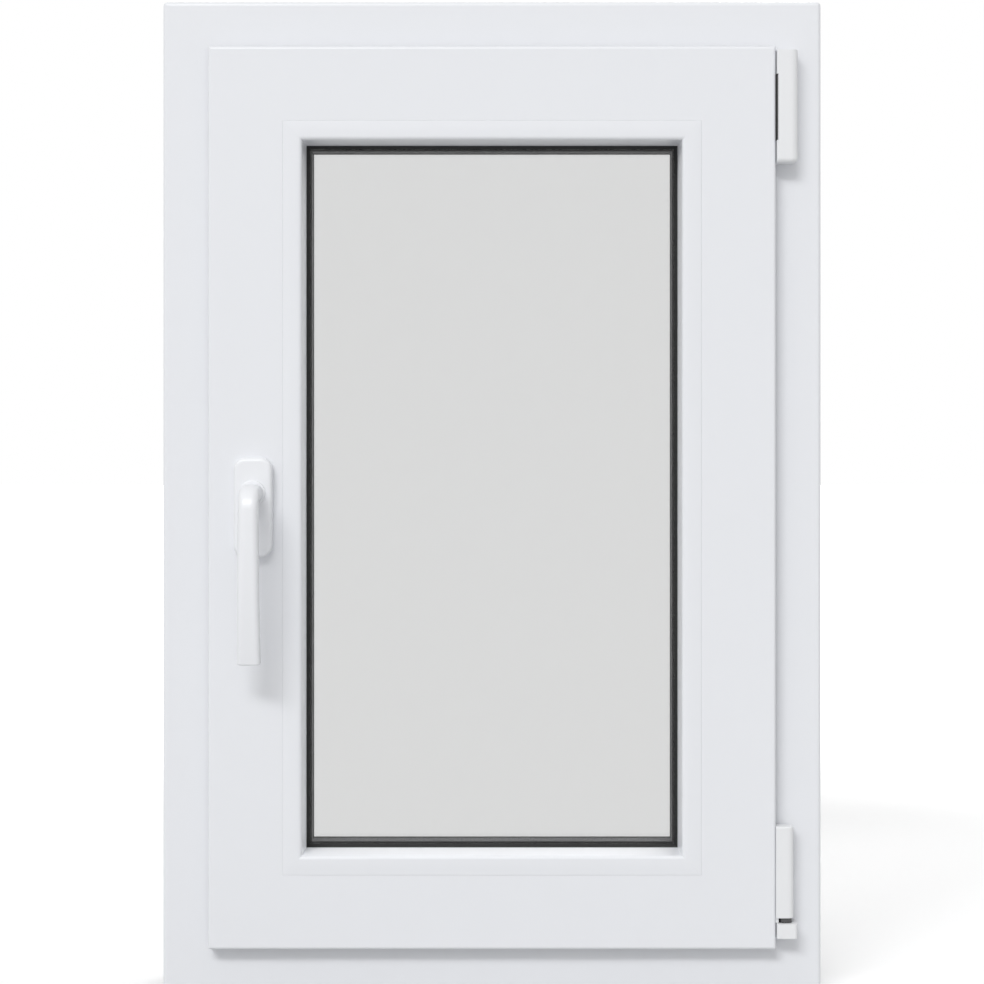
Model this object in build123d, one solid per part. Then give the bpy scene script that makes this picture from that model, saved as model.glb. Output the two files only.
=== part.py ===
"""A small tilt-and-turn window of white plastic profiles, closed.

The origin is the middle of the frame's bottom face. Z is up, X runs across the window and the room
is on the -Y side. Each section below is drawn in two numbers: u, the distance inward from the outer
edge of its own ring, and y, the depth, so that one drawing serves all four sides.
"""

import math
import os

from build123d import *

os.makedirs("parts", exist_ok=True)

# Overall size of the outer frame
FRAME_WIDTH = 500.0
FRAME_HEIGHT = 753.0
FRAME_DEPTH = 70.0

# Outer frame section
FRAME_ROOM_HEIGHT = 44.0  # from the wall side to the rebate floor
FRAME_LIP_HEIGHT = 66.0  # from the wall side to the top of the outside stop lip
FRAME_LIP_THICKNESS = 16.0
FRAME_EDGE_RADIUS = 3.0
FRAME_CORNER_RADIUS = 4.0
WATER_SLOPE = 2.5  # how far the outside edges fall away over their thickness
FREE_EDGE_RADIUS = 1.0  # on the free edges of the stop lip and the outside leg
BACK_GROOVE_WIDTH = 9.0  # at the mouth
BACK_GROOVE_DEPTH = 4.0
BACK_GROOVE_UNDERCUT = 1.5  # how far a back groove widens behind its mouth, at each side
BACK_GROOVE_INSET = 9.0  # from each face of the frame to its back groove

# Sash section
SASH_MARGIN = 36.0  # width of frame that shows round the sash
SASH_DEPTH = 70.0
SASH_PROUD = 15.0  # how far the sash stands in front of the frame, room side
OVERLAP_THICKNESS = 12.0  # the flange that laps over the frame
REBATE_GAP = 12.0  # between the frame's rebate floor and the sash
SEAL_GAP = 3.0  # squeezed height of a closing seal
SASH_FACE_WIDTH = 56.0  # from the sash's outer edge to the bead joint
SASH_LEG_HEIGHT = 72.0  # from the sash's outer edge to the top of its outside leg
SASH_LEG_THICKNESS = 12.0
SASH_EDGE_RADIUS = 2.2
HARDWARE_GROOVE_WIDTH = 20.0
HARDWARE_GROOVE_DEPTH = 3.0
HARDWARE_GROOVE_INSET = 9.0  # from the back of the overlap flange
GEAR_GROOVE_WIDTH = 12.0  # the deeper channel in the middle of the hardware groove
GEAR_GROOVE_DEPTH = 9.0

# Glazing
PANE_THICKNESS = 4.0
PANE_SPACING = 16.0
BLOCK_THICKNESS = 4.0  # between the sash rebate floor and the edge of the glass
BLOCK_LENGTH = 80.0
BLOCK_CORNER_DISTANCE = 50.0  # from the corner of the glass to the near end of a block
GASKET_THICKNESS = 3.0
GASKET_BASE = 6.5  # how far a gasket runs back from the bead's edge
GASKET_LIP = 2.4  # how far the room-side gasket shows past the bead
OUTSIDE_GASKET_LIP = 4.0  # how far the outside gasket shows past the sash leg
GASKET_TIP = 0.35  # thickness of a lip's tip, as a share of the gasket's
SPACER_HEIGHT = 7.0
SPACER_SHOWS = 3.7  # how far the spacer bar stands past the bead's edge

# Glazing bead
BEAD_FACE = 14.6
BEAD_CROWN = 0.4  # how far the middle of the bead's face stands out
BEAD_GLASS_EDGE = 16.0
BEAD_NOSE_RADIUS = 3.0
BEAD_NOSE_DROP = 7.0
BEAD_NOSE_SETBACK = 1.0  # from the glass edge of the bead to the foot of its nose
BEAD_JOINT_RADIUS = 0.35
BEAD_FOOT_WIDTH = 3.0
BEAD_FOOT_DEPTH = 3.5
BEAD_FOOT_INSET = 7.0  # from the room face
FOOT_CLEARANCE = 0.3

# Closing seals
SEAL_WIDTH = 5.0
SEAL_INSET = 2.0  # from the sash's outer edge, and from the sash body on the frame's lip
SEAL_LEAN = 1.2  # how far the pressed lip leans outward
SEAL_FOOT_WIDTH = 2.5
SEAL_FOOT_DEPTH = 3.0

# Handle
HANDLE_INSET = 34.5  # from the sash's outer edge to the spindle
HANDLE_HEIGHT = 380.5  # from the frame's foot to the spindle
ROSETTE_WIDTH = 29.0
ROSETTE_ABOVE = 26.5
ROSETTE_BELOW = 48.5
ROSETTE_THICKNESS = 9.0
ROSETTE_CORNER = 9.0
ROSETTE_EDGE = 3.0
COLLAR_RADIUS = 9.5  # the ring round the neck
COLLAR_HEIGHT = 1.6
COLLAR_EDGE = 0.8
NECK_WIDTH = 15.0
NECK_THICKNESS = 13.0
NECK_CORNER = 5.0
LEVER_REACH = 48.0  # from the sash face to the front of the lever
LEVER_BELOW = 126.0  # from the spindle to the lever's lower end
LEVER_BEND_RADIUS = 12.0
LEVER_OUTWARD_LEAN = 5.0  # degrees, just under the bend
LEVER_INWARD_LEAN = 10.0  # degrees, at the lower end
LEVER_END_WIDTH = 17.5
LEVER_END_THICKNESS = 8.5
LEVER_END_CORNER = 3.5
LEVER_END_EDGE = 1.5
SPINDLE_SIZE = 7.0
SPINDLE_LENGTH = 40.0
SPINDLE_CLEARANCE = 0.2

# Hinges
HINGE_AXIS_OUT = 7.6  # from the sash's outer edge to the hinge axis
HINGE_AXIS_DEPTH = 9.0  # from the frame's room face to the hinge axis
HINGE_PIN_RADIUS = 3.0
HINGE_TO_SASH = 0.6
STAY_COVER_WIDTH = 16.0
STAY_COVER_DEPTH = 18.0
STAY_COVER_LENGTH = 85.0
STAY_COVER_DROP = 3.0  # from the sash's top edge to the cover's top
STAY_COVER_WALL = 1.6
STAY_COVER_FACE_WALL = 3.6
STAY_COVER_SIDE_RADIUS = 5.5  # on the edge away from the sash
STAY_COVER_TOP_RADIUS = 5.0
STAY_COVER_FOOT_RADIUS = 3.5
STAY_COVER_SASH_RADIUS = 1.2  # on the edge beside the sash
STAY_CLEARANCE = 0.3
STAY_SLOT_LENGTH = 50.0
STAY_SLOT_WIDTH = 1.0
STAY_SLOT_RISE = 17.0  # from the cover's foot to the slot
STAY_ARM_RECESS = 3.0  # from the cover's face to the edge of the arm in the slot
STAY_ARM_DEPTH = 8.0
STAY_PIN_MARGIN = 10.0  # from the bearing's ends to the pin's ends
CORNER_BARREL_WIDTH = 13.6  # from the sash's outer edge
CORNER_BARREL_DEPTH = 13.0
CORNER_BARREL_LENGTH = 69.0
CORNER_BARREL_RISE = 23.7  # from the sash's bottom edge to the barrel's foot
CORNER_BARREL_SIDE_RADIUS = 4.5  # on both edges away from the sash
CORNER_BARREL_TOP_RADIUS = 1.5
CORNER_TAB_WIDTH = 2.2  # the tongue that runs down beside the sash, past the gap
CORNER_TAB_DEPTH = 9.0
CORNER_TAB_CLEARANCE = 0.3  # from the tongue's end to the bearing
CORNER_GAP = 4.0  # between the barrel and the bearing below it
CORNER_COLLAR_RADIUS = 5.2  # the pin's collar in that gap
CORNER_PIN_REACH = 20.0  # how far the pin goes up into the barrel
BEARING_WIDTH = 15.3
BEARING_DEPTH = 17.0
BEARING_HEIGHT = 11.1
BEARING_EDGE = 2.0
BEARING_FLOOR = 3.0  # under the foot of the pin

# Drain caps on the outside of the sill
DRAIN_CAP_LENGTH = 42.0
DRAIN_CAP_HEIGHT = 13.0
DRAIN_CAP_DEPTH = 6.0
DRAIN_CAP_EDGE = 2.5
DRAIN_CAP_WALL = 3.0
DRAIN_CAP_SKIN = 2.5  # thickness of the cap's outside face
DRAIN_CAP_INSET = 110.0  # from the frame's end to the middle of the cap
DRAIN_CAP_RISE = 14.0  # from the rebate floor down to the middle of the cap
DRAIN_SLOT_HEIGHT = 5.0
DRAIN_SLOT_LENGTH = 28.0

# Depths, with the room at negative Y
FRAME_ROOM = -FRAME_DEPTH / 2
FRAME_OUT = FRAME_DEPTH / 2
SASH_ROOM = FRAME_ROOM - SASH_PROUD
SASH_OUT = SASH_ROOM + SASH_DEPTH
LIP_IN = FRAME_OUT - FRAME_LIP_THICKNESS
FLANGE_BACK = SASH_ROOM + OVERLAP_THICKNESS
SASH_STOP = LIP_IN - SEAL_GAP
LEG_IN = SASH_OUT - SASH_LEG_THICKNESS
GLASS_OUT = LEG_IN - GASKET_THICKNESS
GLASS_ROOM = GLASS_OUT - PANE_SPACING - 2 * PANE_THICKNESS
BEAD_BACK = GLASS_ROOM - GASKET_THICKNESS

# Distances inward, on the sash from its own edge and on the rest from the frame's
BODY_START = FRAME_ROOM_HEIGHT + REBATE_GAP - SASH_MARGIN
LEG_START = FRAME_LIP_HEIGHT + SEAL_GAP - SASH_MARGIN
FRAME_SEAL_START = SASH_MARGIN + BODY_START + SEAL_INSET
GLAZING_RING = SASH_MARGIN + SASH_FACE_WIDTH
GLASS_RING = GLAZING_RING + BLOCK_THICKNESS
SIGHT_LINE = GLAZING_RING + BEAD_GLASS_EDGE

SIDES = {
    "bottom": Vector(0, 0, 1),
    "top": Vector(0, 0, -1),
    "left": Vector(1, 0, 0),
    "right": Vector(-1, 0, 0),
}
DEPTHWISE = Vector(0, 1, 0)
FACING = Plane.XZ  # its normal points to the room
TOUCH = 1e-3


def side_distance(side):
    """From the window's middle to the frame's outer edge on this side."""
    return (FRAME_HEIGHT if side in ("bottom", "top") else FRAME_WIDTH) / 2


def side_length(side):
    """Length of the frame's outer edge on this side."""
    return FRAME_WIDTH if side in ("bottom", "top") else FRAME_HEIGHT


def side_start(side, inset):
    """The middle of a ring's outer edge on this side."""
    return Vector(0, 0, FRAME_HEIGHT / 2) - SIDES[side] * (side_distance(side) - inset)


def side_wedge(side, inset, reach):
    """The part of the window's outline that belongs to one side, cut at 45 degrees at each corner."""
    inward = SIDES[side]
    across = inward.cross(DEPTHWISE)
    half = side_length(side) / 2 - inset
    start = side_start(side, inset)
    points = [
        start - across * half,
        start + across * half,
        start + across * (half - reach) + inward * reach,
        start - across * (half - reach) + inward * reach,
    ]
    face = make_face(Polyline(*points, close=True))
    return extrude(face, 2 * SASH_DEPTH, both=True, dir=DEPTHWISE)


def full_bar(section, side, inset):
    """One straight bar with square ends, as long as the ring's side."""
    inward = SIDES[side]
    length = side_length(side) - 2 * inset
    plane = Plane(origin=side_start(side, inset), x_dir=inward, z_dir=inward.cross(DEPTHWISE))
    return extrude(plane * section, length / 2, both=True)


def mitred_bars(section, inset, reach):
    """The four bars of a ring, each cut to 45 degrees at its ends."""
    return {side: full_bar(section, side, inset) & side_wedge(side, inset, reach) for side in SIDES}


def ring_of(section, inset, reach):
    """A ring with welded corners, as one solid."""
    bars = list(mitred_bars(section, inset, reach).values())
    return bars[0].fuse(*bars[1:]).clean()


def outline(*points):
    """A closed section through points given as (u, y)."""
    return make_face(Polyline(*points, close=True))


def block(u, y, reach, depth):
    """A rectangle in a section, from its corner at (u, y)."""
    return Pos(u + reach / 2, y + depth / 2) * Rectangle(reach, depth)


def rounded_at(section, radius, *corners):
    """The section with the named corners rounded."""
    picked = [v for v in section.vertices() if any((Vector(v) - Vector(*c)).length < TOUCH for c in corners)]
    return fillet(picked, radius)


def seal_foot(start, base, behind):
    """The foot of a closing seal, which is also its groove; behind is 1 or -1, the way it goes in."""
    middle = start + SEAL_WIDTH / 2
    return Pos(middle, base + behind * SEAL_FOOT_DEPTH / 2) * Rectangle(SEAL_FOOT_WIDTH, SEAL_FOOT_DEPTH)


def seal_section(start, base, behind):
    """A pressed sealing lip that leans outward from its foot."""
    tip = base - behind * SEAL_GAP
    lip = outline(
        (start, base),
        (start + SEAL_WIDTH, base),
        (start + SEAL_WIDTH - SEAL_LEAN, tip),
        (start - SEAL_LEAN, tip),
    )
    return lip + seal_foot(start, base, behind)


def frame_section():
    """Room-side wall, rebate floor and the outside stop lip, with undercut clip grooves in the back."""
    lip_edge = (FRAME_LIP_HEIGHT, LIP_IN)
    lip_out = (FRAME_LIP_HEIGHT - WATER_SLOPE, FRAME_OUT)
    section = outline(
        (0, FRAME_ROOM),
        (FRAME_ROOM_HEIGHT, FRAME_ROOM),
        (FRAME_ROOM_HEIGHT, LIP_IN),
        lip_edge,
        lip_out,
        (0, FRAME_OUT),
    )
    section = rounded_at(section, FRAME_EDGE_RADIUS, (0, FRAME_ROOM), (0, FRAME_OUT))
    section = rounded_at(section, FREE_EDGE_RADIUS, lip_edge, lip_out)
    for y in (FRAME_ROOM + BACK_GROOVE_INSET, FRAME_OUT - BACK_GROOVE_INSET - BACK_GROOVE_WIDTH):
        section -= outline(
            (0, y),
            (0, y + BACK_GROOVE_WIDTH),
            (BACK_GROOVE_DEPTH, y + BACK_GROOVE_WIDTH + BACK_GROOVE_UNDERCUT),
            (BACK_GROOVE_DEPTH, y - BACK_GROOVE_UNDERCUT),
        )
    return section - seal_foot(FRAME_SEAL_START, LIP_IN, 1)


def sash_section():
    """Overlap flange, hardware groove, stop face, outside leg and the glazing rebate."""
    leg_edge = (SASH_LEG_HEIGHT, LEG_IN)
    leg_out = (SASH_LEG_HEIGHT - WATER_SLOPE, SASH_OUT)
    section = outline(
        (0, SASH_ROOM),
        (SASH_FACE_WIDTH, SASH_ROOM),
        (SASH_FACE_WIDTH, LEG_IN),
        leg_edge,
        leg_out,
        (LEG_START, SASH_OUT),
        (LEG_START, SASH_STOP),
        (BODY_START, SASH_STOP),
        (BODY_START, FLANGE_BACK),
        (0, FLANGE_BACK),
    )
    section = rounded_at(section, SASH_EDGE_RADIUS, (0, SASH_ROOM))
    section = rounded_at(section, FREE_EDGE_RADIUS, leg_edge, leg_out)
    hardware_y = FLANGE_BACK + HARDWARE_GROOVE_INSET
    gear_y = hardware_y + (HARDWARE_GROOVE_WIDTH - GEAR_GROOVE_WIDTH) / 2
    section -= block(BODY_START, hardware_y, HARDWARE_GROOVE_DEPTH, HARDWARE_GROOVE_WIDTH)
    section -= block(BODY_START, gear_y, GEAR_GROOVE_DEPTH, GEAR_GROOVE_WIDTH)
    section -= seal_foot(SEAL_INSET, FLANGE_BACK, -1)
    slot_reach = BEAD_FOOT_DEPTH + FOOT_CLEARANCE
    slot_width = BEAD_FOOT_WIDTH + 2 * FOOT_CLEARANCE
    slot_y = SASH_ROOM + BEAD_FOOT_INSET - FOOT_CLEARANCE
    return section - block(SASH_FACE_WIDTH - slot_reach, slot_y, slot_reach, slot_width)


def bead_section():
    """A crowned room face, a rounded nose, a long slope down to the glass, and the clip foot."""
    joint = (0, SASH_ROOM)
    nose = (BEAD_FACE, SASH_ROOM)
    nose_foot = (BEAD_GLASS_EDGE - BEAD_NOSE_SETBACK, SASH_ROOM + BEAD_NOSE_DROP)
    crown = ThreePointArc(joint, (BEAD_FACE / 2, SASH_ROOM - BEAD_CROWN), nose)
    rest = Polyline(nose, nose_foot, (BEAD_GLASS_EDGE, BEAD_BACK), (0, BEAD_BACK), joint)
    section = make_face([crown, *rest.edges()])
    section = rounded_at(section, BEAD_NOSE_RADIUS, nose, nose_foot)
    section = rounded_at(section, BEAD_JOINT_RADIUS, joint)
    return section + block(-BEAD_FOOT_DEPTH, SASH_ROOM + BEAD_FOOT_INSET, BEAD_FOOT_DEPTH, BEAD_FOOT_WIDTH)


def glazing_gasket(pane_face, clamp_face, lip_reach):
    """A gasket between a pane and what clamps it, with a lip that thins out over the glass."""
    lip = BEAD_GLASS_EDGE + lip_reach
    tip = pane_face + (clamp_face - pane_face) * GASKET_TIP
    return outline(
        (BEAD_GLASS_EDGE - GASKET_BASE, clamp_face),
        (BEAD_GLASS_EDGE, clamp_face),
        (lip, tip),
        (lip, pane_face),
        (BEAD_GLASS_EDGE - GASKET_BASE, pane_face),
    )


def drain_place(x):
    """The middle of a drain slot on the sill's outside face; x is -1 or 1."""
    return Pos(x * (FRAME_WIDTH / 2 - DRAIN_CAP_INSET), FRAME_OUT, FRAME_ROOM_HEIGHT - DRAIN_CAP_RISE)


def build_frame():
    """The outer frame's four bars, with the frame's rounded corners and the drain slots in the sill."""
    reach = FRAME_LIP_HEIGHT + SASH_MARGIN
    rounded = RectangleRounded(FRAME_WIDTH, FRAME_HEIGHT, FRAME_CORNER_RADIUS)
    corners = Pos(0, 0, FRAME_HEIGHT / 2) * extrude(FACING * rounded, FRAME_DEPTH, both=True)
    ring = ring_of(frame_section(), 0, reach) & corners
    bars = {side: ring & side_wedge(side, 0, reach) for side in SIDES}
    for x in (-1, 1):
        bars["bottom"] -= drain_place(x) * Box(DRAIN_SLOT_LENGTH, FRAME_LIP_THICKNESS * 2, DRAIN_SLOT_HEIGHT)
    return bars


def build_panes():
    """The two panes, the spacer bar and the edge seal between them."""
    pane = Box(FRAME_WIDTH - 2 * GLASS_RING, PANE_THICKNESS, FRAME_HEIGHT - 2 * GLASS_RING)
    inner = Pos(0, GLASS_ROOM + PANE_THICKNESS / 2, FRAME_HEIGHT / 2) * pane
    outer = Pos(0, GLASS_OUT - PANE_THICKNESS / 2, FRAME_HEIGHT / 2) * pane
    gap_start = GLASS_ROOM + PANE_THICKNESS
    spacer_top = SIGHT_LINE + SPACER_SHOWS - GLASS_RING
    seal_height = spacer_top - SPACER_HEIGHT
    spacer = ring_of(block(seal_height, gap_start, SPACER_HEIGHT, PANE_SPACING), GLASS_RING, SIGHT_LINE)
    sealant = ring_of(block(0, gap_start, seal_height, PANE_SPACING), GLASS_RING, SIGHT_LINE)
    return inner, outer, spacer, sealant


def build_blocks():
    """Blocks between the sash rebate and the glass: under it, over it and at both sides."""
    depth = GLASS_OUT - GLASS_ROOM
    middle = (GLASS_OUT + GLASS_ROOM) / 2
    along_x = FRAME_WIDTH / 2 - GLASS_RING - BLOCK_CORNER_DISTANCE - BLOCK_LENGTH / 2
    along_z = FRAME_HEIGHT / 2 - GLASS_RING - BLOCK_CORNER_DISTANCE - BLOCK_LENGTH / 2
    out_x = FRAME_WIDTH / 2 - GLAZING_RING - BLOCK_THICKNESS / 2
    out_z = FRAME_HEIGHT / 2 - GLAZING_RING - BLOCK_THICKNESS / 2
    blocks = []
    for x in (-1, 1):
        for z in (-1, 1):
            flat = Box(BLOCK_LENGTH, depth, BLOCK_THICKNESS)
            upright = Box(BLOCK_THICKNESS, depth, BLOCK_LENGTH)
            blocks.append(Pos(x * along_x, middle, FRAME_HEIGHT / 2 + z * out_z) * flat)
            blocks.append(Pos(x * out_x, middle, FRAME_HEIGHT / 2 + z * along_z) * upright)
    return Compound(children=blocks)


def handle_place():
    """The spindle's point on the sash face."""
    return Vector(-FRAME_WIDTH / 2 + SASH_MARGIN + HANDLE_INSET, SASH_ROOM, HANDLE_HEIGHT)


def spindle_middle():
    """The middle of the spindle, level with the backplate's front."""
    place = handle_place()
    return Pos(place.X, place.Y - ROSETTE_THICKNESS, place.Z)


def spindle_bore():
    """The square hole for the spindle, through the backplate and into what lies on both sides of it."""
    hole = SPINDLE_SIZE + 2 * SPINDLE_CLEARANCE
    return spindle_middle() * Box(hole, SPINDLE_LENGTH, hole)


def build_rosette():
    """A plate with round corners and a pillowed front edge, and the low collar round the neck."""
    place = handle_place()
    shape = RectangleRounded(ROSETTE_WIDTH, ROSETTE_ABOVE + ROSETTE_BELOW, ROSETTE_CORNER)
    middle = Pos(place.X, place.Y, place.Z + (ROSETTE_ABOVE - ROSETTE_BELOW) / 2)
    plate = middle * extrude(FACING * shape, ROSETTE_THICKNESS)
    plate = fillet(plate.faces().sort_by(Axis.Y)[0].edges(), ROSETTE_EDGE)
    collar = extrude(FACING * Circle(COLLAR_RADIUS), ROSETTE_THICKNESS + COLLAR_HEIGHT)
    collar = fillet(collar.faces().sort_by(Axis.Y)[0].edges(), COLLAR_EDGE)
    return plate + Pos(place) * collar - spindle_bore()


def lever_path():
    """The lever's middle line, from the collar out to the bend and down the bowed grip."""
    place = handle_place()
    to_room = -DEPTHWISE
    down = Vector(0, 0, -1)
    outward = math.radians(LEVER_OUTWARD_LEAN)
    inward = math.radians(LEVER_INWARD_LEAN)
    turn = math.radians(90) - outward
    bend_drop = LEVER_BEND_RADIUS * (1 - math.cos(turn))
    bend_out = LEVER_BEND_RADIUS * math.sin(turn)
    bow_radius = (LEVER_BELOW - bend_drop) / (math.sin(outward) + math.sin(inward))
    most_forward = LEVER_REACH - NECK_THICKNESS / 2
    neck_end = most_forward - bow_radius * (1 - math.cos(outward)) - bend_out
    grip_end = most_forward - bow_radius * (1 - math.cos(inward))
    bend_start = place + to_room * neck_end
    bend_end = bend_start + to_room * bend_out + down * bend_drop
    neck = Line(place + to_room * (ROSETTE_THICKNESS + COLLAR_HEIGHT), bend_start)
    bend = TangentArc(bend_start, bend_end, tangent=to_room)
    grip = TangentArc(bend_end, place + to_room * grip_end + down * LEVER_BELOW, tangent=bend % 1)
    return neck, bend, grip


def across_path(edge, share, width, thickness, corner):
    """A rounded section square to an edge of the lever's middle line."""
    plane = Plane(origin=edge @ share, x_dir=Vector(1, 0, 0), z_dir=edge % share)
    return plane * RectangleRounded(width, thickness, corner)


def build_lever():
    """Neck and bend in one section, then a grip that widens and thins towards its end."""
    neck, bend, grip = lever_path()
    head = sweep(across_path(neck, 0, NECK_WIDTH, NECK_THICKNESS, NECK_CORNER), path=Wire([neck, bend]))
    grip_top = across_path(grip, 0, NECK_WIDTH, NECK_THICKNESS, NECK_CORNER)
    grip_foot = across_path(grip, 1, LEVER_END_WIDTH, LEVER_END_THICKNESS, LEVER_END_CORNER)
    bar = sweep([grip_top, grip_foot], path=Wire([grip]), multisection=True)
    bar = fillet(bar.faces().sort_by(Axis.Z)[0].edges(), LEVER_END_EDGE)
    return head + bar - spindle_bore()


def build_spindle():
    """The square bar that joins the lever to the gear in the sash."""
    return spindle_middle() * Box(SPINDLE_SIZE, SPINDLE_LENGTH, SPINDLE_SIZE)


def hinge_axis():
    """X and Y of the hinge axis."""
    return FRAME_WIDTH / 2 - SASH_MARGIN + HINGE_AXIS_OUT, FRAME_ROOM - HINGE_AXIS_DEPTH


def on_frame(left, depth, foot, width, height):
    """A box that stands on the frame's room face, from its left side and its foot."""
    return Pos(left + width / 2, FRAME_ROOM - depth / 2, foot + height / 2) * Box(width, depth, height)


def is_front_edge(edge, foot):
    """Whether an edge of the stay cover lies between its two ends and away from its back."""
    middle = edge.center()
    between_ends = foot + TOUCH < middle.Z < foot + STAY_COVER_LENGTH - TOUCH
    return between_ends and middle.Y < FRAME_ROOM - TOUCH


def build_stay():
    """Upper hinge: a long slotted cover, the bearing inside it, the arm in the slot and the pin."""
    x, y = hinge_axis()
    left = FRAME_WIDTH / 2 - SASH_MARGIN + HINGE_TO_SASH
    foot = FRAME_HEIGHT - SASH_MARGIN - STAY_COVER_DROP - STAY_COVER_LENGTH
    cover = on_frame(left, STAY_COVER_DEPTH, foot, STAY_COVER_WIDTH, STAY_COVER_LENGTH)
    front_edges = cover.edges().filter_by(Axis.Z).sort_by(Axis.Y)[:2].sort_by(Axis.X)
    cover = fillet(front_edges[-1], STAY_COVER_SIDE_RADIUS)
    for face, radius in (
        (cover.faces().sort_by(Axis.Z)[-1], STAY_COVER_TOP_RADIUS),
        (cover.faces().sort_by(Axis.Z)[0], STAY_COVER_FOOT_RADIUS),
    ):
        middles = [(edge, edge.center()) for edge in face.edges()]
        cover = fillet([e for e, m in middles if m.X > left + TOUCH and m.Y < FRAME_ROOM - TOUCH], radius)
    sash_side = cover.faces().sort_by(Axis.X)[0]
    cover = fillet([e for e in sash_side.edges() if is_front_edge(e, foot)], STAY_COVER_SASH_RADIUS)

    slot_foot = foot + STAY_SLOT_RISE
    slot_depth = STAY_ARM_RECESS + STAY_ARM_DEPTH
    slot_y = FRAME_ROOM - STAY_COVER_DEPTH + slot_depth / 2
    slot_place = Pos(left + STAY_SLOT_WIDTH / 2, slot_y, slot_foot + STAY_SLOT_LENGTH / 2)
    slot = slot_place * Box(STAY_SLOT_WIDTH, slot_depth, STAY_SLOT_LENGTH)
    arm = slot_place * Pos(0, STAY_ARM_RECESS / 2, 0) * Box(STAY_SLOT_WIDTH, STAY_ARM_DEPTH, STAY_SLOT_LENGTH)

    inner_left = left + STAY_SLOT_WIDTH + STAY_COVER_WALL
    inner_width = STAY_COVER_WIDTH - STAY_SLOT_WIDTH - 2 * STAY_COVER_WALL
    inner_depth = STAY_COVER_DEPTH - STAY_COVER_FACE_WALL
    inner_foot = foot + 2 * STAY_COVER_WALL
    inner_length = STAY_COVER_LENGTH - 4 * STAY_COVER_WALL
    cover -= on_frame(inner_left, inner_depth, inner_foot, inner_width, inner_length)
    cover -= slot

    bearing_length = inner_length - 2 * STAY_CLEARANCE
    bearing = on_frame(
        inner_left + STAY_CLEARANCE,
        inner_depth - STAY_CLEARANCE,
        inner_foot + STAY_CLEARANCE,
        inner_width - 2 * STAY_CLEARANCE,
        bearing_length,
    )
    pin_length = bearing_length - 2 * STAY_PIN_MARGIN
    pin = Pos(x, y, inner_foot + inner_length / 2) * Cylinder(HINGE_PIN_RADIUS, pin_length)
    return {"stay_cover": cover, "stay_bearing": bearing - pin, "stay_pin": pin, "stay_arm": arm}


def build_corner():
    """Lower hinge: the barrel on the sash with its tongue, the bearing on the frame, and the pin."""
    x, y = hinge_axis()
    sash_edge = FRAME_WIDTH / 2 - SASH_MARGIN
    foot = SASH_MARGIN + CORNER_BARREL_RISE
    barrel = Box(CORNER_BARREL_WIDTH, CORNER_BARREL_DEPTH, CORNER_BARREL_LENGTH)
    barrel = Pos(sash_edge + CORNER_BARREL_WIDTH / 2, y, foot + CORNER_BARREL_LENGTH / 2) * barrel
    barrel = fillet(barrel.edges().filter_by(Axis.Z).sort_by(Axis.X)[2:], CORNER_BARREL_SIDE_RADIUS)
    top_edges = barrel.faces().sort_by(Axis.Z)[-1].edges()
    barrel = fillet([e for e in top_edges if e.center().X > sash_edge + TOUCH], CORNER_BARREL_TOP_RADIUS)
    tab_length = CORNER_GAP - CORNER_TAB_CLEARANCE
    tab = Box(CORNER_TAB_WIDTH, CORNER_TAB_DEPTH, tab_length)
    barrel += Pos(sash_edge + CORNER_TAB_WIDTH / 2, y, foot - tab_length / 2) * tab

    bearing_top = foot - CORNER_GAP
    bearing_foot = bearing_top - BEARING_HEIGHT
    bearing = on_frame(sash_edge + HINGE_TO_SASH, BEARING_DEPTH, bearing_foot, BEARING_WIDTH, BEARING_HEIGHT)
    bearing = fillet(bearing.edges().filter_by(Axis.Z).sort_by(Axis.Y)[:2], BEARING_EDGE)

    pin_low = bearing_foot + BEARING_FLOOR
    pin_high = foot + CORNER_PIN_REACH
    pin = Pos(x, y, (pin_low + pin_high) / 2) * Cylinder(HINGE_PIN_RADIUS, pin_high - pin_low)
    collar = Pos(x, y, foot - CORNER_GAP / 2) * Cylinder(CORNER_COLLAR_RADIUS, CORNER_GAP)
    return {"corner_barrel": barrel - pin, "corner_bearing": bearing - pin, "corner_pin": pin + collar}


def build_drain_cap(x):
    """A hooded cap over one drain slot on the outside of the sill, open below; x is -1 or 1."""
    place = drain_place(x) * Pos(0, DRAIN_CAP_DEPTH / 2, 0)
    cap = place * Box(DRAIN_CAP_LENGTH, DRAIN_CAP_DEPTH, DRAIN_CAP_HEIGHT)
    cap = fillet(cap.faces().sort_by(Axis.Y)[-1].edges(), DRAIN_CAP_EDGE)
    inner_width = DRAIN_CAP_LENGTH - 2 * DRAIN_CAP_WALL
    inner_depth = DRAIN_CAP_DEPTH - DRAIN_CAP_SKIN
    hollow = Box(inner_width, inner_depth, DRAIN_CAP_HEIGHT)
    return cap - place * Pos(0, -DRAIN_CAP_SKIN / 2, -DRAIN_CAP_WALL) * hollow


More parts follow.
